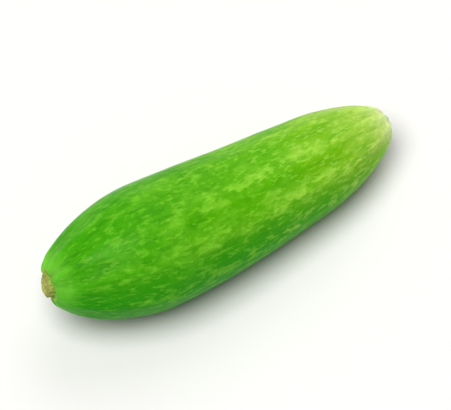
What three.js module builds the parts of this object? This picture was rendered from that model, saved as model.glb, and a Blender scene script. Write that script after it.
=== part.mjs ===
// An ivy gourd (Coccinia grandis), freshly picked and lying on its side.
// Millimetres, +Z up. The fruit lies along X, its stalk end towards -X and its blossom end towards +X.
// The origin is under the middle of the gourd, on the surface that it lies on.
//
// It has three pieces: the fruit, the stub of stalk that was snapped off close to its fat end, and the
// dried scrap of flower at its narrow end. The fruit is one solid, because it grew as one.

import * as THREE from "three";

// The fruit, measured along its centreline from the stalk end.
const FRUIT_LENGTH = 60;
const BELLY_RADIUS = 9.8;
const BELLY_AT = 16.5;
const SHOULDER_RADIUS = 7.55; // where the sides start to round in to the blossom end
const SHOULDER_AT = 45;
const SHOULDER_TAPER = 0.115; // radius lost per length there
const HEIGHT_SHARE = 0.97; // the fruit is a little less high than it is wide

// How full the curves of its outline are: each is the length of the curve's handle.
const STALK_END_FULLNESS = 2.7; // out from the stalk dimple
const BELLY_RISE = 8; // back from the belly, towards the stalk end
const BELLY_FALL = 3.5; // on from the belly, towards the blossom end
const TAPER_FULLNESS = 13; // back from the shoulder
const ROUNDING_FULLNESS = 8.5; // on from the shoulder
const BLOSSOM_END_FULLNESS = 2.3; // out from the blossom dimple

// How the fruit lies.
const BOW = 1.8; // its middle lies this far towards -Y of the straight line between its ends
const BOW_AT = 0.36; // share of the length where the bend is strongest
const BLOSSOM_END_DROP = 4.6; // the belly lifts the stalk end, so the centreline falls by this much
const RESTING_FLAT_DEPTH = 0.4; // how far the skin is pressed in where it lies on the surface

// The dimples that hold the two dried ends.
const STALK_DIMPLE = { radius: 2.1, depth: 0.5, lip: 0.3 };
const BLOSSOM_DIMPLE = { radius: 1.1, depth: 0.4, lip: 0.2 };

// The stub of stalk: it narrows to a bulging shoulder and a flat broken end.
const STALK_LENGTH = 1.3;
const STALK_BASE_RADIUS = 1.8;
const STALK_END_RADIUS = 1.35;

// The dried scrap of flower, a blunt little knob.
const SCRAP_LENGTH = 1.1;
const SCRAP_BASE_RADIUS = 0.8;
const SCRAP_END_RADIUS = 0.35;

// Clearance between pieces that grow out of each other.
const GAP = 0.3;

// Fineness of the meshes.
const STEPS_PER_CURVE = 14;
const FRUIT_SIDES = 48;
const SMALL_STEPS_PER_CURVE = 5;
const SMALL_SIDES = 14;

const UP = new THREE.Vector3(0, 0, 1);

// The line down the middle of the fruit, bowed to one side and falling slightly.
const centreline = new THREE.QuadraticBezierCurve3(
  new THREE.Vector3(0, 0, 0),
  new THREE.Vector3(BOW_AT * FRUIT_LENGTH, -2 * BOW, -BOW_AT * BLOSSOM_END_DROP),
  new THREE.Vector3(FRUIT_LENGTH, 0, -BLOSSOM_END_DROP),
);

// The frame at a share of the centreline: X along it, Y to the side and Z up.
function frameAt(share) {
  const along = centreline.getTangentAt(share);
  const side = new THREE.Vector3().crossVectors(UP, along).normalize();
  const up = new THREE.Vector3().crossVectors(along, side);
  return new THREE.Matrix4().makeBasis(along, side, up).setPosition(centreline.getPointAt(share));
}

// A solid of revolution about X, from an outline of points (distance along X, radius) that starts and
// ends on X.
function turned(outline, stepsPerCurve, sides) {
  const profile = outline.getPoints(stepsPerCurve).map((point) => new THREE.Vector2(point.y, point.x));
  return new THREE.LatheGeometry(profile, sides).rotateZ(-Math.PI / 2);
}

// Half of the fruit's outline: the stalk dimple, the fat end up to the belly, the long taper, and the
// round blossom end with its own small dimple.
function fruitOutline() {
  const stalkRim = STALK_DIMPLE.radius + STALK_DIMPLE.lip;
  const blossomRim = BLOSSOM_DIMPLE.radius + BLOSSOM_DIMPLE.lip;
  const blossomFloor = FRUIT_LENGTH - BLOSSOM_DIMPLE.depth;
  return new THREE.Path()
    .moveTo(STALK_DIMPLE.depth, 0)
    .lineTo(STALK_DIMPLE.depth, STALK_DIMPLE.radius)
    .lineTo(0, stalkRim)
    .bezierCurveTo(
      0, stalkRim + STALK_END_FULLNESS,
      BELLY_AT - BELLY_RISE, BELLY_RADIUS,
      BELLY_AT, BELLY_RADIUS,
    )
    .bezierCurveTo(
      BELLY_AT + BELLY_FALL, BELLY_RADIUS,
      SHOULDER_AT - TAPER_FULLNESS, SHOULDER_RADIUS + TAPER_FULLNESS * SHOULDER_TAPER,
      SHOULDER_AT, SHOULDER_RADIUS,
    )
    .bezierCurveTo(
      SHOULDER_AT + ROUNDING_FULLNESS, SHOULDER_RADIUS - ROUNDING_FULLNESS * SHOULDER_TAPER,
      FRUIT_LENGTH, blossomRim + BLOSSOM_END_FULLNESS,
      FRUIT_LENGTH, blossomRim,
    )
    .lineTo(blossomFloor, BLOSSOM_DIMPLE.radius)
    .lineTo(blossomFloor, 0);
}

// Lays a straight fruit along the centreline.
function bend(geometry) {
  const position = geometry.getAttribute("position");
  const point = new THREE.Vector3();
  for (let i = 0; i < position.count; i++) {
    point.fromBufferAttribute(position, i);
    const share = THREE.MathUtils.clamp(point.x / FRUIT_LENGTH, 0, 1);
    point.setX(0).applyMatrix4(frameAt(share));
    position.setXYZ(i, point.x, point.y, point.z);
  }
}

// Presses the lowest part of the skin flat, so that the fruit has a face to lie on.
function flattenUnderside(geometry) {
  geometry.computeBoundingBox();
  const surface = geometry.boundingBox.min.z + RESTING_FLAT_DEPTH;
  const position = geometry.getAttribute("position");
  for (let i = 0; i < position.count; i++) {
    position.setZ(i, Math.max(position.getZ(i), surface));
  }
}

function makeFruit() {
  const geometry = turned(fruitOutline(), STEPS_PER_CURVE, FRUIT_SIDES);
  geometry.scale(1, 1, HEIGHT_SHARE);
  bend(geometry);
  flattenUnderside(geometry);
  geometry.computeVertexNormals();
  const skin = new THREE.MeshStandardMaterial({ color: 0x5cae26, roughness: 0.42, metalness: 0 });
  const fruit = new THREE.Mesh(geometry, skin);
  fruit.name = "fruit";
  return fruit;
}

// The stub runs out of its dimple towards -X.
function makeStalkStub() {
  const outline = new THREE.Path()
    .moveTo(-STALK_LENGTH, 0)
    .lineTo(-STALK_LENGTH, STALK_END_RADIUS)
    .quadraticCurveTo(-STALK_LENGTH, STALK_BASE_RADIUS, 0, STALK_BASE_RADIUS)
    .lineTo(0, 0);
  const geometry = turned(outline, SMALL_STEPS_PER_CURVE, SMALL_SIDES);
  geometry.translate(STALK_DIMPLE.depth - GAP, 0, 0);
  const bark = new THREE.MeshStandardMaterial({ color: 0x8c924c, roughness: 0.85, metalness: 0 });
  const stub = new THREE.Mesh(geometry, bark);
  stub.name = "stalk_stub";
  stub.applyMatrix4(frameAt(0));
  return stub;
}

// The scrap runs out of its dimple towards +X.
function makeFlowerScrap() {
  const outline = new THREE.Path()
    .moveTo(0, 0)
    .lineTo(0, SCRAP_BASE_RADIUS)
    .quadraticCurveTo(SCRAP_LENGTH, SCRAP_BASE_RADIUS, SCRAP_LENGTH, SCRAP_END_RADIUS)
    .lineTo(SCRAP_LENGTH, 0);
  const geometry = turned(outline, SMALL_STEPS_PER_CURVE, SMALL_SIDES);
  geometry.translate(GAP - BLOSSOM_DIMPLE.depth, 0, 0);
  const dried = new THREE.MeshStandardMaterial({ color: 0x6a5230, roughness: 0.9, metalness: 0 });
  const scrap = new THREE.Mesh(geometry, dried);
  scrap.name = "flower_scrap";
  scrap.applyMatrix4(frameAt(1));
  return scrap;
}

const gourd = new THREE.Group();
gourd.add(makeFruit(), makeStalkStub(), makeFlowerScrap());

// Put the origin under the middle of the gourd, on the surface that it lies on.
const box = new THREE.Box3().setFromObject(gourd, true);
const middle = box.getCenter(new THREE.Vector3());
gourd.position.set(-middle.x, -middle.y, -box.min.z);

export default gourd;
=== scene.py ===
"""The looks of an ivy gourd: its waxy streaked skin, its snapped stalk and its dried scrap of flower.

Blender objects are in metres. The shapes are worked out in millimetres, in the same form as the CAD model,
and are then laid on it by the box of its fruit. Along the fruit, X runs from the stalk end to the blossom
end, and a "straight" point is one before the fruit is bent: (distance along, sideways, up).
"""

import math

import bpy
import numpy as np
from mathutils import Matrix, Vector, noise


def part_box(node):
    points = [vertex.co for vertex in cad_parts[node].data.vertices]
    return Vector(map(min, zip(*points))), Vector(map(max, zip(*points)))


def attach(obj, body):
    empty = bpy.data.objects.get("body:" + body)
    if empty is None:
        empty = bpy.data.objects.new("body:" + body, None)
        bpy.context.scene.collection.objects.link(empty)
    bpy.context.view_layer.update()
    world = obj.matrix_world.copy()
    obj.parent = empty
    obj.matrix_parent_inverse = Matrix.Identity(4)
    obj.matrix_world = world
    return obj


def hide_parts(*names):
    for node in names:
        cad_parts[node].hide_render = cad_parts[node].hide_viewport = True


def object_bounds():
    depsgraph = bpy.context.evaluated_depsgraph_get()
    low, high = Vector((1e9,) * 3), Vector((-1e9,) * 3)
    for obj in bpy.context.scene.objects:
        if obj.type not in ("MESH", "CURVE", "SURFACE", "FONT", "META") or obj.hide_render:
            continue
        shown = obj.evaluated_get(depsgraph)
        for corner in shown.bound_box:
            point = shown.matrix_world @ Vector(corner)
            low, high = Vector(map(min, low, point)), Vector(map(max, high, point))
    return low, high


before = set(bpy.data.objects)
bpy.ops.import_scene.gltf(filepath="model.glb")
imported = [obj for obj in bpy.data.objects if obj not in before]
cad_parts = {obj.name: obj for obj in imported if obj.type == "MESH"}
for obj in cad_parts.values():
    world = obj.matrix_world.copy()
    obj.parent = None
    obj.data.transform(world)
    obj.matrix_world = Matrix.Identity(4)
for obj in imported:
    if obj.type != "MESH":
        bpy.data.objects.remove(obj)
cad_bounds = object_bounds()

MM = 0.001
UP = np.array((0.0, 0.0, 1.0))

# The fruit's outline and centreline, as in the CAD model.
FRUIT_LENGTH = 60
BELLY_RADIUS = 9.8
BELLY_AT = 16.5
SHOULDER_RADIUS = 7.55
SHOULDER_AT = 45
SHOULDER_TAPER = 0.115
HEIGHT_SHARE = 0.97
STALK_END_FULLNESS = 2.7
BELLY_RISE = 8
BELLY_FALL = 3.5
TAPER_FULLNESS = 13
ROUNDING_FULLNESS = 8.5
BLOSSOM_END_FULLNESS = 2.3
BOW = 1.8
BOW_AT = 0.36
BLOSSOM_END_DROP = 4.6

# The rounded dimples that hold the two dried ends: how deep each is, the radius of its rim, and the radii
# that the handles of its curve reach to, on its lip and on its floor.
STALK_DIMPLE_DEPTH = 0.5
STALK_RIM = 2.4
STALK_LIP = 1.7
STALK_FLOOR = 1.9
BLOSSOM_DIMPLE_DEPTH = 0.4
BLOSSOM_RIM = 1.3
BLOSSOM_LIP = 0.8
BLOSSOM_FLOOR = 0.9

# Relief of the skin, in millimetres, and how many ribs and puckers there are round the fruit.
RIBS = 10
RIB_HEIGHT = 0.05
END_RIB_HEIGHT = 0.15
END_RIB_LENGTH = 13
STALK_PUCKERS = 9
PUCKER_HEIGHT = 0.16
LUMP_HEIGHT = 0.17
RIPPLE_HEIGHT = 0.07
GRAIN_HEIGHT = 0.02

# How softly the skin turns into the flat patch that it rests on, in millimetres.
UNDERSIDE_SOFTNESS = 0.25

# Where round the fruit the painted shade lies, as a deeper green flank: on the -Y side, below the middle.
PAINTED_SHADE_ANGLE = math.radians(-150)

# The stub of stalk: how far it reaches in and out of the fruit's end, and its radii from the inside out.
STALK_SUNK = 0.75
STALK_LENGTH = 0.78
STALK_FOOT = 2.05
STALK_NECK = 1.75
STALK_HEAD = 1.6

# The heights of its relief in millimetres, round its side and over its broken face.
STALK_UNEVENNESS = 0.16
STALK_FIBRE_HEIGHT = 0.13
FACE_TEAR_HEIGHT = 0.13
FACE_RING_HEIGHT = 0.1
FACE_SLANT = 0.18

# The dried scrap of flower, in the same way, and how far its point leans sideways and up.
SCRAP_SUNK = 0.6
SCRAP_LENGTH = 0.75
SCRAP_FOOT = 0.98
SCRAP_NECK = 0.55
SCRAP_POINT = 0.3
SCRAP_LOBES = 5
LOBE_HEIGHT = 0.1
CRUMPLE_HEIGHT = 0.14
POINT_CRUMPLE = 0.08
SCRAP_LEAN = (0.12, 0.1)

# Fineness of the meshes, and of the lines that they are made from.
FRUIT_RINGS = 340
FRUIT_SIDES = 256
FRUIT_CURVE_STEPS = 200
SMALL_RINGS = 90
SMALL_SIDES = 120
SMALL_CURVE_STEPS = 60
PLAIN_RINGS = 200
PLAIN_SIDES = 96
CENTRELINE_STEPS = 2000
CENTRELINE_POINTS = 1200

# The camera's view of the fruit: its lens in millimetres, and its distance and clipping in metres.
CAMERA_AZIMUTH = math.radians(-33.5)
CAMERA_ELEVATION = math.radians(55)
CAMERA_LENS = 300
CAMERA_DISTANCE = 0.56
CAMERA_CLIP = (0.01, 20)

# The studio, in metres. Its walls are bright up to one height and dim above another, and these two are
# sines of the elevation.
LIGHT_DISTANCE = 1.0
FLOOR_REACH = 4.0
BRIGHT_UP_TO = 0.04
DIM_ABOVE = 0.3
DIM_STRENGTH = 0.25


# ---------------------------------------------------------------------------------------------- shapes


def bezier(points, steps):
    """Points along a Bezier curve of three or four control points, without its last one."""
    points = np.array(points, float)
    t = np.linspace(0, 1, steps, endpoint=False)[:, None]
    order = len(points) - 1
    terms = [math.comb(order, k) * t**k * (1 - t) ** (order - k) * points[k] for k in range(order + 1)]
    return sum(terms)


def joined(curves, steps):
    """Points along Bezier curves that follow each other, with that many steps each."""
    return np.vstack([bezier(curve, steps) for curve in curves] + [curves[-1][-1]])


def evenly_spaced(points, count):
    """The line through the points, as count points at equal distances along it."""
    steps = np.linalg.norm(np.diff(points, axis=0), axis=1)
    travelled = np.concatenate(([0], np.cumsum(steps)))
    wanted = np.linspace(0, travelled[-1], count)
    return np.column_stack([np.interp(wanted, travelled, column) for column in points.T])


def turned(outline, sides):
    """The rings of a solid of revolution about X, one after another."""
    x = np.repeat(outline[:, 0], sides)
    radius = np.repeat(outline[:, 1], sides)
    around = np.tile(np.linspace(0, 2 * math.pi, sides, endpoint=False), len(outline))
    return np.column_stack((x, radius * np.cos(around), radius * np.sin(around)))


def polar(straight):
    """Distance from the X axis and angle round it, at each straight point."""
    return np.hypot(straight[:, 1], straight[:, 2]), np.arctan2(straight[:, 2], straight[:, 1])


def noise_at(points, size, seed):
    """Smooth noise from -1 to 1 at each point, with lumps of about that size."""
    scaled = points / np.array(size, float) + seed
    return np.array([noise.noise(Vector(point)) for point in scaled])


def smoothstep(low, high, value):
    t = np.clip((value - low) / (high - low), 0, 1)
    return t * t * (3 - 2 * t)


def fruit_outline():
    """(distance along, radius) from the floor of the stalk dimple to the floor of the blossom dimple."""
    tip = FRUIT_LENGTH
    blossom_floor = tip - BLOSSOM_DIMPLE_DEPTH
    curves = (
        (
            (STALK_DIMPLE_DEPTH, 0),
            (STALK_DIMPLE_DEPTH, STALK_FLOOR),
            (0, STALK_LIP),
            (0, STALK_RIM),
        ),
        (
            (0, STALK_RIM),
            (0, STALK_RIM + STALK_END_FULLNESS),
            (BELLY_AT - BELLY_RISE, BELLY_RADIUS),
            (BELLY_AT, BELLY_RADIUS),
        ),
        (
            (BELLY_AT, BELLY_RADIUS),
            (BELLY_AT + BELLY_FALL, BELLY_RADIUS),
            (SHOULDER_AT - TAPER_FULLNESS, SHOULDER_RADIUS + TAPER_FULLNESS * SHOULDER_TAPER),
            (SHOULDER_AT, SHOULDER_RADIUS),
        ),
        (
            (SHOULDER_AT, SHOULDER_RADIUS),
            (SHOULDER_AT + ROUNDING_FULLNESS, SHOULDER_RADIUS - ROUNDING_FULLNESS * SHOULDER_TAPER),
            (tip, BLOSSOM_RIM + BLOSSOM_END_FULLNESS),
            (tip, BLOSSOM_RIM),
        ),
        (
            (tip, BLOSSOM_RIM),
            (tip, BLOSSOM_LIP),
            (blossom_floor, BLOSSOM_FLOOR),
            (blossom_floor, 0),
        ),
    )
    return joined(curves, FRUIT_CURVE_STEPS)


class Centreline:
    """The line down the middle of the fruit, bowed to one side and falling slightly."""

    def __init__(self):
        bend = (BOW_AT * FRUIT_LENGTH, -2 * BOW, -BOW_AT * BLOSSOM_END_DROP)
        end = (FRUIT_LENGTH, 0, -BLOSSOM_END_DROP)
        curve = ((0, 0, 0), bend, end)
        self.points = evenly_spaced(joined((curve,), CENTRELINE_STEPS), CENTRELINE_POINTS)
        self.shares = np.linspace(0, 1, len(self.points))
        self.tangents = np.gradient(self.points, axis=0)
        self.tangents /= np.linalg.norm(self.tangents, axis=1, keepdims=True)

    def at(self, share, line):
        """The line's points or tangents at those shares of its length."""
        return np.column_stack([np.interp(share, self.shares, column) for column in line.T])

    def lay(self, straight):
        """Moves straight points to where they are on the bent fruit."""
        share = np.clip(straight[:, 0] / FRUIT_LENGTH, 0, 1)
        along = self.at(share, self.tangents)
        along /= np.linalg.norm(along, axis=1, keepdims=True)
        side = np.cross(UP, along)
        side /= np.linalg.norm(side, axis=1, keepdims=True)
        up = np.cross(along, side)
        beyond = straight[:, 0] - share * FRUIT_LENGTH
        return (
            self.at(share, self.points)
            + along * beyond[:, None]
            + side * straight[:, 1:2]
            + up * straight[:, 2:3]
        )


CENTRELINE = Centreline()


def shift_to_cad():
    """How far the centreline's frame is from the row frame, in metres, from the box of a plain fruit."""
    plain = turned(evenly_spaced(fruit_outline(), PLAIN_RINGS), PLAIN_SIDES)
    plain[:, 2] *= HEIGHT_SHARE
    plain = CENTRELINE.lay(plain) * MM
    low, high = (np.array(corner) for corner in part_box("fruit"))
    shift = (low + high) / 2 - (plain.min(0) + plain.max(0)) / 2
    shift[2] = high[2] - plain[:, 2].max()
    return shift


SHIFT_TO_CAD = shift_to_cad()


def placed(straight):
    """Moves straight points to where they are in the row frame, in metres."""
    return CENTRELINE.lay(straight) * MM + SHIFT_TO_CAD


def with_end_points(rings, sides):
    """The rings' points, with the first and last rings as one point each, at the end."""
    return np.vstack((rings[sides:-sides], rings[:sides].mean(0), rings[-sides:].mean(0)))


def ringed_mesh(name, points, sides, straight):
    """A closed mesh of rings of points, the first and last of which lie on the axis.

    It keeps each point's straight place in an attribute, for its material.
    """
    count = len(points) // sides - 2
    start = count * sides
    end = start + 1
    faces = []
    for ring in range(count - 1):
        for side in range(sides):
            a = ring * sides + side
            b = ring * sides + (side + 1) % sides
            faces.append((a, a + sides, b + sides, b))
    last_ring = (count - 1) * sides
    for side in range(sides):
        after = (side + 1) % sides
        faces.append((start, side, after))
        faces.append((end, last_ring + after, last_ring + side))
    mesh = bpy.data.meshes.new(name)
    mesh.from_pydata(with_end_points(points, sides).tolist(), [], faces)
    mesh.shade_smooth()
    attribute = mesh.attributes.new("straight", "FLOAT_VECTOR", "POINT")
    values = with_end_points(straight, sides).astype(np.float32)
    attribute.data.foreach_set("vector", values.ravel())
    piece = bpy.data.objects.new(name, mesh)
    bpy.context.scene.collection.objects.link(piece)
    return piece


def skin_relief(straight):
    """How far the skin stands out from the plain outline at each straight point, in millimetres."""
    x = straight[:, 0]
    radius, angle = polar(straight)
    near_stalk = 1 - smoothstep(0, END_RIB_LENGTH, x)
    near_blossom = smoothstep(FRUIT_LENGTH - 1 - END_RIB_LENGTH, FRUIT_LENGTH - 1, x)
    fade = smoothstep(0.3, 2.6, radius)

    # The ribs are a little narrower than the furrows between them, and they wander.
    wander = noise_at(straight, size=(22, 9, 9), seed=3.1)
    wave = np.cos(RIBS * (angle + 0.13 * wander))
    rib = 1 - 2 * np.sqrt(np.clip((1 - wave) / 2, 0, 1) ** 1.5)
    rib_height = RIB_HEIGHT + (END_RIB_HEIGHT - RIB_HEIGHT) * np.maximum(near_stalk, near_blossom)
    rib_height *= 0.75 + 0.6 * noise_at(straight, size=(16, 7, 7), seed=8.3)

    by_the_stalk = smoothstep(1.9, 2.8, radius) * (1 - smoothstep(3.2, 7, radius)) * near_stalk
    pucker = np.cos(STALK_PUCKERS * angle + 1.3 * noise_at(straight, size=4, seed=5.7))

    relief = fade * rib_height * rib
    relief += by_the_stalk * PUCKER_HEIGHT * pucker
    relief += fade * LUMP_HEIGHT * noise_at(straight, size=(17, 12, 12), seed=1.7)
    relief += fade * RIPPLE_HEIGHT * noise_at(straight, size=(6, 2.6, 2.6), seed=6.2)
    relief += fade * GRAIN_HEIGHT * noise_at(straight, size=(1.5, 0.9, 0.9), seed=2.9)
    return relief


def rest_on_floor(points):
    """Presses the underside flat on the floor, with a soft edge to the patch."""
    softness = UNDERSIDE_SOFTNESS * MM
    z = points[:, 2]
    points[:, 2] = (z + np.sqrt(z * z + softness * softness)) / 2
    return points


def make_fruit():
    outline = evenly_spaced(fruit_outline(), FRUIT_RINGS)
    straight = turned(outline, FRUIT_SIDES)
    slope = np.gradient(outline, axis=0)
    slope /= np.linalg.norm(slope, axis=1, keepdims=True)
    outwards = turned(np.column_stack((-slope[:, 1], slope[:, 0])), FRUIT_SIDES)
    shaped = straight + outwards * skin_relief(straight)[:, None]
    shaped[:, 2] *= HEIGHT_SHARE
    return ringed_mesh("gourd_skin", rest_on_floor(placed(shaped)), FRUIT_SIDES, straight)


def small_solid(curves):
    """Straight points of a dried end, with their distances, angles and directions out from the X axis."""
    straight = turned(evenly_spaced(joined(curves, SMALL_CURVE_STEPS), SMALL_RINGS), SMALL_SIDES)
    radius, angle = polar(straight)
    out = np.column_stack((np.zeros_like(angle), np.cos(angle), np.sin(angle)))
    return straight, radius, angle, out


def make_stalk():
    """The stub of stalk: a low corky collar out of its dimple, with a rough, slightly hollow broken face."""
    foot, neck, head, length = STALK_FOOT, STALK_NECK, STALK_HEAD, STALK_LENGTH
    curves = (
        ((STALK_SUNK, 0), (STALK_SUNK, foot / 2), (STALK_SUNK, foot)),
        ((STALK_SUNK, foot), (0.1, foot), (-0.1, neck), (-length / 2, neck)),
        ((-length / 2, neck), (-length * 0.9, neck), (-length, head), (-length, head * 0.8)),
        ((-length, head * 0.8), (-length + 0.05, head * 0.45), (-length + 0.2, 0)),
    )
    straight, radius, angle, out = small_solid(curves)

    # Fibres run along its side, and it isn't quite round.
    uneven = noise_at(out, size=1 / 1.4, seed=4.4)
    fibres = noise_at(np.column_stack((straight[:, 0], out[:, 1:])), size=(5, 1 / 4.5, 1 / 4.5), seed=6.3)
    side = smoothstep(0.9, 1.35, radius)
    shaped = straight + out * (side * (STALK_UNEVENNESS * uneven + STALK_FIBRE_HEIGHT * fibres))[:, None]

    # The face is torn, with a ring of raised fibre ends round a pith.
    face = 1 - smoothstep(-length + 0.1, -length + 0.4, straight[:, 0])
    torn = noise_at(straight, size=(9, 0.5, 0.5), seed=7.5)
    torn += 0.5 * noise_at(straight, size=(9, 0.2, 0.2), seed=9.1)
    ring = smoothstep(0.5, 0.85, radius) * (1 - smoothstep(1.1, 1.5, radius))
    shaped[:, 0] -= face * (FACE_TEAR_HEIGHT * torn + FACE_RING_HEIGHT * ring)
    lean = smoothstep(-0.1, -length, straight[:, 0]) * np.sin(angle + 0.8) * radius / head
    shaped[:, 0] += FACE_SLANT * lean
    return ringed_mesh("stalk", placed(shaped), SMALL_SIDES, straight)


def make_flower_scrap():
    """The dried scrap of flower: a shrivelled five-lobed nub out of its dimple, with a blunt point."""
    tip = FRUIT_LENGTH
    inside = tip - SCRAP_SUNK
    end = tip + SCRAP_LENGTH
    foot, neck, point = SCRAP_FOOT, SCRAP_NECK, SCRAP_POINT
    curves = (
        ((inside, 0), (inside, foot / 2), (inside, foot)),
        ((inside, foot), (tip - 0.1, foot * 1.05), (tip + 0.1, neck * 1.3), (tip + 0.3, neck)),
        ((tip + 0.3, neck), (tip + 0.5, point), (end, point * 1.2), (end, 0)),
    )
    straight, radius, angle, out = small_solid(curves)
    crumple = noise_at(straight, size=0.5, seed=2.2) + 0.5 * noise_at(straight, size=0.22, seed=3.7)
    lobes = LOBE_HEIGHT * np.cos(SCRAP_LOBES * angle + 0.6 * crumple)
    shaped = straight + out * (np.minimum(radius, 1) * (lobes + CRUMPLE_HEIGHT * crumple))[:, None]
    shaped[:, 0] += POINT_CRUMPLE * crumple * smoothstep(tip, tip + 0.3, straight[:, 0])

    # It leans a little to one side and up.
    lean = smoothstep(tip, end, straight[:, 0])
    shaped[:, 1:] += lean[:, None] * SCRAP_LEAN
    return ringed_mesh("dried_flower", placed(shaped), SMALL_SIDES, straight)


# ------------------------------------------------------------------------------------------- materials


def srgb(red, green, blue):
    """A display colour, 0 to 255 each, as the linear colour that shaders take."""
    def linear(value):
        value /= 255
        return value / 12.92 if value <= 0.04045 else ((value + 0.055) / 1.055) ** 2.4

    return (linear(red), linear(green), linear(blue), 1)


class Shading:
    """Builds one material's nodes. Most methods add nodes and give back their output socket."""

    def __init__(self, name):
        self.material = bpy.data.materials.new(name)
        self.material.use_nodes = True
        self.tree = self.material.node_tree
        self.surface = self.tree.nodes["Principled BSDF"]

    def feed(self, socket, value):
        if isinstance(value, bpy.types.NodeSocket):
            self.tree.links.new(value, socket)
        else:
            socket.default_value = value

    def node(self, kind, inputs, **settings):
        made = self.tree.nodes.new(kind)
        for key, value in settings.items():
            setattr(made, key, value)
        for key, value in inputs.items():
            self.feed(made.inputs[key], value)
        return made

    def straight(self):
        return self.node("ShaderNodeAttribute", {}, attribute_name="straight").outputs["Vector"]

    def stretched(self, vector, size, offset):
        """The vector divided by size, so that a pattern at scale 1 has features of about that size."""
        scale = tuple(1 / s for s in size)
        inputs = {"Vector": vector, "Scale": scale, "Location": (offset, offset, offset)}
        return self.node("ShaderNodeMapping", inputs).outputs["Vector"]

    def parts(self, vector):
        return self.node("ShaderNodeSeparateXYZ", {"Vector": vector}).outputs

    def vector(self, x, y, z):
        return self.node("ShaderNodeCombineXYZ", {"X": x, "Y": y, "Z": z}).outputs["Vector"]

    def vector_math(self, operation, *values):
        inputs = dict(enumerate(values))
        return self.node("ShaderNodeVectorMath", inputs, operation=operation).outputs["Vector"]

    def noise(self, vector, detail, roughness=0.5):
        inputs = {"Vector": vector, "Scale": 1.0, "Detail": detail, "Roughness": roughness}
        return self.node("ShaderNodeTexNoise", inputs).outputs["Fac"]

    def cells(self, vector):
        """Distance to the nearest of scattered points, and that point's random colour."""
        found = self.node("ShaderNodeTexVoronoi", {"Vector": vector, "Scale": 1.0})
        return found.outputs["Distance"], found.outputs["Color"]

    def math(self, operation, *values):
        inputs = dict(enumerate(values))
        return self.node("ShaderNodeMath", inputs, operation=operation).outputs["Value"]

    def add(self, *values):
        total = values[0]
        for value in values[1:]:
            total = self.math("ADD", total, value)
        return total

    def times(self, *values):
        product = values[0]
        for value in values[1:]:
            product = self.math("MULTIPLY", product, value)
        return product

    def centred(self, value):
        """A value from 0 to 1, moved to run from -0.5 to 0.5."""
        return self.math("SUBTRACT", value, 0.5)

    def from_axis(self, y, z):
        """Distance from the X axis."""
        return self.math("SQRT", self.add(self.times(y, y), self.times(z, z)))

    def between(self, value, low, high, to=(0.0, 1.0)):
        """Value eased from (low, high) to another range. Low may be above high."""
        to_low, to_high = to
        if low > high:
            low, high, to_low, to_high = high, low, to_high, to_low
        inputs = {
            "Value": value,
            "From Min": low,
            "From Max": high,
            "To Min": to_low,
            "To Max": to_high,
        }
        return self.node("ShaderNodeMapRange", inputs, interpolation_type="SMOOTHSTEP").outputs["Result"]

    def ramp(self, value, stops):
        """A colour for the value, from (position, colour) stops."""
        made = self.node("ShaderNodeValToRGB", {"Fac": value})
        elements = made.color_ramp.elements
        while len(elements) < len(stops):
            elements.new(1)
        for element, (position, colour) in zip(elements, stops):
            element.position = position
            element.color = colour
        return made.outputs["Color"]

    def mix(self, share, a, b):
        """Colour a, with that share of colour b."""
        made = self.tree.nodes.new("ShaderNodeMix")
        made.data_type = "RGBA"
        for index, value in ((0, share), (6, a), (7, b)):
            self.feed(made.inputs[index], value)
        return made.outputs[2]

    def bump(self, height, depth):
        """Height from 0 to 1, as relief of that depth in millimetres."""
        inputs = {"Height": height, "Distance": depth * MM, "Strength": 1.0}
        self.feed(self.surface.inputs["Normal"], self.node("ShaderNodeBump", inputs).outputs["Normal"])

    def finish(self, colour, roughness, **plain):
        self.feed(self.surface.inputs["Base Color"], colour)
        self.feed(self.surface.inputs["Roughness"], roughness)
        for name, value in plain.items():
            self.surface.inputs[name.replace("_", " ")].default_value = value
        return self.material


# The skin's greens, by share of the fruit's length from the stalk end.
GROUND_GREENS = (
    (0.0, srgb(62, 142, 10)),
    (0.22, srgb(66, 145, 9)),
    (0.42, srgb(80, 150, 8)),
    (0.6, srgb(90, 157, 10)),
    (0.8, srgb(112, 163, 22)),
    (0.97, srgb(164, 190, 90)),
)
PALE_GREENS = ((0.0, srgb(112, 176, 48)), (0.5, srgb(142, 194, 64)), (1.0, srgb(190, 212, 112)))
DARK_GREENS = ((0.0, srgb(26, 104, 2)), (0.5, srgb(46, 130, 4)), (1.0, srgb(98, 156, 22)))
# Painted shade: the deeper greens of one low flank, by share of the fruit's length.
PAINTED_SHADE_GREENS = (
    (0.0, srgb(16, 128, 0)),
    (0.5, srgb(26, 138, 0)),
    (0.72, srgb(52, 146, 0)),
    (1.0, srgb(112, 172, 16)),
)
COLLAR_GREEN = srgb(112, 176, 62)
CORK = srgb(136, 156, 74)
SCAR_WHITE = srgb(216, 226, 168)

# How much of its own colour each mark has, where it is strongest.
BAND_COVER = 0.14
PALE_PATCH_COVER = 0.45
DARK_PATCH_COVER = 0.4
DARK_STREAK_COVER = 0.4
FINE_DASH_COVER = 0.34
BOLD_DASH_COVER = 0.62
PORE_COVER = 0.3
MOTTLE_COVER = 0.3
CORK_COVER = 0.75

# Roughness of the skin, from its waxiest patches to its dullest, and what a bold dash adds.
SKIN_ROUGHNESS = (0.38, 0.5)
DASH_ROUGHNESS = 0.06


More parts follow.
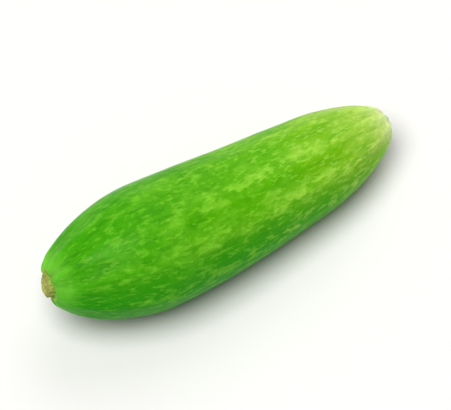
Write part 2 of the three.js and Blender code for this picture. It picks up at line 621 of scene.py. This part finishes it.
class Skin(Shading):
    """The fruit's skin: a ground colour, with its patches, streaks and end marks laid over it in turn."""

    def __init__(self):
        super().__init__("gourd_skin")
        self.point = self.straight()
        self.x, y, z = self.parts(self.point)
        self.share = self.math("DIVIDE", self.x, FRUIT_LENGTH)
        self.angle = self.math("ARCTAN2", z, y)
        self.radius = self.from_axis(y, z)
        around = self.vector_math("NORMALIZE", self.vector(0.0, y, z))
        self.along_and_around = self.vector_math("ADD", self.vector(self.x, 0.0, 0.0), around)
        self.pale = self.ramp(self.share, PALE_GREENS)
        self.dark = self.ramp(self.share, DARK_GREENS)

        # Slow changes over the fruit, and how strong its pale marks are, which rises along it.
        self.drift = self.noise(self.stretched(self.point, (15, 6, 6), offset=2.0), detail=3)
        self.wander = self.noise(self.streaked(length=24, width=7, offset=5.0), detail=2)
        self.rising = self.between(self.share, 0.05, 0.7, to=(0.4, 0.9))

        # Its marks, each from 0 to 1. The bold dashes lie mostly along the bands.
        self.band = self.bands()
        bold = self.dashes(length=3.3, width=1.6, offset=9.0, low=0.51, high=0.6)
        self.bold = self.times(bold, self.along_bands(), self.rising)
        self.fine = self.dashes(length=1.7, width=0.7, offset=31.0, low=0.52, high=0.62, detail=3)
        self.pores = self.pin_pricks()
        self.mottle = self.noise(
            self.stretched(self.point, (1.1, 0.6, 0.6), offset=4.0), detail=4, roughness=0.6
        )

    def streaked(self, length, width, offset):
        """Coordinates for features of that length along the fruit and that width at its belly.

        Both are in millimetres. The features run round the fruit, and narrow towards its ends as it does.
        """
        size = (length, width / BELLY_RADIUS, width / BELLY_RADIUS)
        return self.stretched(self.along_and_around, size, offset)

    def dashes(self, length, width, offset, low, high, detail=4):
        """Broken streaks, of about that length and width. They begin where the noise passes low."""
        streaks = self.noise(self.streaked(length, width, offset), detail, roughness=0.6)
        return self.between(streaks, low, high)

    def bands(self):
        """Wandering bands from end to end, as many as there are ribs."""
        phase = self.add(self.times(self.angle, float(RIBS)), self.times(self.wander, 4.0))
        return self.between(self.math("SINE", phase), -0.5, 0.95)

    def along_bands(self):
        """How strong a mark is that lies mostly along the bands."""
        return self.between(self.band, 0.0, 1.0, to=(0.2, 1.0))

    def pin_pricks(self):
        """Small round pores, at some of the scattered points."""
        distance, tint = self.cells(self.stretched(self.point, (1.0, 0.75, 0.75), offset=21.0))
        chosen = self.between(self.parts(tint)[2], 0.3, 0.6)
        return self.times(self.between(distance, 0.19, 0.08), chosen)

    def ground(self):
        """Dark at the stalk end, yellow-green and then cream at the blossom end."""
        zone = self.add(self.share, self.times(self.centred(self.drift), 0.16))
        return self.ramp(zone, GROUND_GREENS)

    def with_patches(self, colour):
        """The bands, and large soft patches, paler and darker than the rest."""
        patches = self.noise(self.streaked(length=7.0, width=4.5, offset=63.0), detail=2)
        pale_patches = self.between(patches, 0.5, 0.72)
        dark_patches = self.between(patches, 0.46, 0.28)
        colour = self.mix(self.times(self.band, BAND_COVER, self.rising), colour, self.pale)
        colour = self.mix(self.times(pale_patches, PALE_PATCH_COVER, self.rising), colour, self.pale)
        return self.mix(self.times(dark_patches, DARK_PATCH_COVER), colour, self.dark)

    def with_dark_streaks(self, colour):
        streaks = self.dashes(length=5.0, width=1.4, offset=47.0, low=0.5, high=0.64)
        return self.mix(self.times(streaks, DARK_STREAK_COVER), colour, self.dark)

    def with_painted_shade(self, colour):
        """Painted shade: one low flank is a deeper green, more so where the drift noise is high."""
        towards_flank = self.math("COSINE", self.math("SUBTRACT", self.angle, PAINTED_SHADE_ANGLE))
        flank = self.between(towards_flank, 0.35, 0.9)
        depth = self.between(self.drift, 0.25, 0.6, to=(0.6, 0.9))
        return self.mix(self.times(flank, depth), colour, self.ramp(self.share, PAINTED_SHADE_GREENS))

    def with_fine_marks(self, colour):
        """Pale dashes and pores, and a fine darker mottle over all of them."""
        colour = self.mix(self.times(self.fine, FINE_DASH_COVER), colour, self.pale)
        colour = self.mix(self.times(self.bold, BOLD_DASH_COVER), colour, self.pale)
        colour = self.mix(self.times(self.pores, PORE_COVER), colour, self.pale)
        return self.mix(self.between(self.mottle, 0.35, 0.7, to=(0.0, MOTTLE_COVER)), colour, self.dark)

    def with_stalk_end(self, colour):
        """The skin is paler round the stalk, and corky where it meets it."""
        collar = self.times(self.between(self.radius, 6.5, 3.2), self.between(self.x, 4.0, 1.5))
        unevenly = self.between(self.drift, 0.3, 0.7, to=(0.3, 0.8))
        colour = self.mix(self.times(collar, unevenly), colour, COLLAR_GREEN)
        rim = self.times(self.between(self.radius, 2.9, 2.2), self.between(self.x, 1.2, 0.4))
        return self.mix(self.times(rim, CORK_COVER), colour, CORK)

    def with_blossom_end(self, colour):
        """The skin is whitish round the flower scar, and further back along the bands."""
        reach = self.add(self.x, self.times(self.band, 1.2), self.times(self.centred(self.wander), 7.0))
        blossom_side = self.between(reach, FRUIT_LENGTH - 6.5, FRUIT_LENGTH - 0.2)
        scar = self.times(self.between(self.radius, 6.2, 2.6), blossom_side)
        speckled = self.between(self.mottle, 0.35, 0.65, to=(0.8, 0.45))
        return self.mix(self.times(scar, speckled), colour, SCAR_WHITE)

    def roughness(self):
        """Waxy, with duller patches and dashes."""
        gloss = self.noise(self.stretched(self.point, (5, 3, 3), offset=17.0), detail=3)
        waxy = self.between(gloss, 0.3, 0.7, to=SKIN_ROUGHNESS)
        return self.add(waxy, self.times(self.bold, DASH_ROUGHNESS))

    def relief(self):
        """A fine grain, with sunken pores and slightly raised dashes."""
        grain = self.noise(self.stretched(self.point, (0.7, 0.4, 0.4), offset=6.0), detail=3)
        return self.add(
            self.times(grain, 0.6),
            self.times(self.pores, -0.5),
            self.times(self.bold, 0.35),
            self.times(self.fine, 0.2),
        )


def skin_material():
    s = Skin()
    colour = s.with_patches(s.ground())
    # Painted shade: one low flank is made a deeper green.
    colour = s.with_painted_shade(s.with_dark_streaks(colour))
    colour = s.with_fine_marks(colour)
    colour = s.with_blossom_end(s.with_stalk_end(colour))
    s.bump(s.relief(), depth=0.03)
    return s.finish(
        colour,
        s.roughness(),
        Subsurface_Weight=0.5,
        Subsurface_Radius=(0.3, 1.0, 0.12),
        Subsurface_Scale=0.004,
        Specular_IOR_Level=0.1,
        Specular_Tint=(0.85, 1.0, 0.4, 1.0),
        Coat_Weight=0.12,
        Coat_Roughness=0.3,
        Coat_IOR=1.35,
    )


def stalk_material():
    """Fibrous olive green, with brown blotches and a paler broken face round its pith."""
    s = Shading("stalk")
    straight = s.straight()
    x, y, z = s.parts(straight)
    radius = s.from_axis(y, z)
    fibres = s.noise(s.stretched(straight, (2.2, 0.2, 0.2), offset=3.0), detail=4, roughness=0.65)
    blotches = s.noise(s.stretched(straight, (0.9, 0.7, 0.7), offset=8.0), detail=2)
    colour = s.ramp(
        fibres,
        ((0.32, srgb(86, 104, 34)), (0.5, srgb(122, 146, 56)), (0.68, srgb(160, 174, 92))),
    )
    colour = s.mix(s.between(blotches, 0.48, 0.7, to=(0.0, 0.6)), colour, srgb(136, 120, 62))
    face = s.between(x, -0.45, -0.6)
    colour = s.mix(s.times(face, 0.5), colour, srgb(168, 168, 96))
    pith = s.times(face, s.between(radius, 0.6, 0.25))
    colour = s.mix(s.times(pith, 0.75), colour, srgb(106, 92, 44))
    edge = s.times(face, s.between(radius, 1.05, 1.4))
    colour = s.mix(s.times(edge, 0.5), colour, srgb(108, 96, 44))
    foot = s.between(x, -0.25, 0.1)
    colour = s.mix(s.times(foot, 0.7), colour, srgb(90, 144, 34))
    s.bump(fibres, depth=0.06)
    return s.finish(colour, s.between(blotches, 0.3, 0.7, to=(0.72, 0.9)))


def dried_flower_material():
    """Crumpled papery brown, paler at its foot."""
    s = Shading("dried_flower")
    straight = s.straight()
    x = s.parts(straight)[0]
    crumple = s.noise(s.stretched(straight, (0.5, 0.3, 0.3), offset=3.0), detail=4, roughness=0.6)
    colour = s.ramp(
        crumple,
        ((0.32, srgb(62, 44, 22)), (0.52, srgb(116, 88, 48)), (0.7, srgb(168, 140, 88))),
    )
    foot = s.between(x, FRUIT_LENGTH + 0.3, FRUIT_LENGTH - 0.1)
    colour = s.mix(s.times(foot, 0.7), colour, srgb(202, 196, 130))
    s.bump(crumple, depth=0.06)
    return s.finish(colour, s.between(crumple, 0.3, 0.7, to=(0.92, 0.75)))


def floor_material():
    return Shading("pale_floor").finish(colour=(0.6, 0.6, 0.6, 1), roughness=0.7, Specular_IOR_Level=0.2)


# ----------------------------------------------------------------------------------------------- stage


def make_floor():
    mesh = bpy.data.meshes.new("floor")
    reach = FLOOR_REACH
    corners = [(-reach, -reach, 0), (reach, -reach, 0), (reach, reach, 0), (-reach, reach, 0)]
    mesh.from_pydata(corners, [], [(0, 1, 2, 3)])
    mesh.materials.append(floor_material())
    floor = bpy.data.objects.new("floor", mesh)
    bpy.context.scene.collection.objects.link(floor)


def direction(azimuth, elevation):
    """From the middle of the object towards something seen at that azimuth and elevation, in radians."""
    return Vector(
        (
            math.sin(azimuth) * math.cos(elevation),
            -math.cos(azimuth) * math.cos(elevation),
            math.sin(elevation),
        )
    )


def aim(thing, target, towards, distance):
    """Puts a camera or light that far from the target in a direction, facing the target."""
    thing.location = target + towards * distance
    thing.rotation_mode = "QUATERNION"
    thing.rotation_quaternion = towards.to_track_quat("Z", "Y")
    bpy.context.scene.collection.objects.link(thing)


def make_light(name, target, azimuth, elevation, spread, strength, colour):
    """A soft light as wide as that many degrees of sky, the same strength everywhere on the floor.

    Azimuth is in degrees from the camera's own, anticlockwise seen from above.
    """
    lamp = bpy.data.lights.new(name, "SUN")
    lamp.angle = math.radians(spread)
    lamp.energy = strength
    lamp.color = colour
    light = bpy.data.objects.new(name, lamp)
    towards = direction(CAMERA_AZIMUTH + math.radians(azimuth), math.radians(elevation))
    aim(light, target, towards, LIGHT_DISTANCE)


def make_lights(target):
    make_light(
        "key", target, azimuth=-35, elevation=68, spread=45, strength=3.35, colour=(1.0, 0.99, 0.965)
    )
    make_light(
        "rim", target, azimuth=165, elevation=45, spread=45, strength=0.7, colour=(1.0, 0.99, 0.97)
    )


def make_surroundings():
    """A pale studio: its walls are bright low down, so that they meet the floor, and dim overhead."""
    world = bpy.data.worlds.new("studio")
    world.use_nodes = True
    nodes, link = world.node_tree.nodes, world.node_tree.links.new
    height = nodes.new("ShaderNodeSeparateXYZ")
    link(nodes.new("ShaderNodeTexCoord").outputs["Generated"], height.inputs["Vector"])
    fade = nodes.new("ShaderNodeMapRange")
    fade.interpolation_type = "SMOOTHSTEP"
    link(height.outputs["Z"], fade.inputs["Value"])
    fade.inputs["From Min"].default_value = BRIGHT_UP_TO
    fade.inputs["From Max"].default_value = DIM_ABOVE
    fade.inputs["To Min"].default_value = 1.0
    fade.inputs["To Max"].default_value = DIM_STRENGTH
    background = nodes["Background"]
    background.inputs["Color"].default_value = (1.0, 1.0, 0.99, 1)
    link(fade.outputs["Result"], background.inputs["Strength"])
    bpy.context.scene.world = world


def make_camera(target):
    camera_data = bpy.data.cameras.new("camera")
    camera_data.lens = CAMERA_LENS
    camera_data.clip_start, camera_data.clip_end = CAMERA_CLIP
    camera = bpy.data.objects.new("camera", camera_data)
    aim(camera, target, direction(CAMERA_AZIMUTH, CAMERA_ELEVATION), CAMERA_DISTANCE)
    bpy.context.scene.camera = camera


# -------------------------------------------------------------------------------------------- assembly


def add_piece(piece, material, node):
    piece.data.materials.append(material)
    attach(piece, "root")
    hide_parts(node)


add_piece(make_fruit(), skin_material(), "fruit")
add_piece(make_stalk(), stalk_material(), "stalk_stub")
add_piece(make_flower_scrap(), dried_flower_material(), "flower_scrap")
make_floor()

middle = (cad_bounds[0] + cad_bounds[1]) / 2
make_lights(middle)
make_surroundings()
make_camera(middle)
bpy.context.scene.view_settings.view_transform = "Standard"
bpy.context.scene.view_settings.look = "Medium High Contrast"
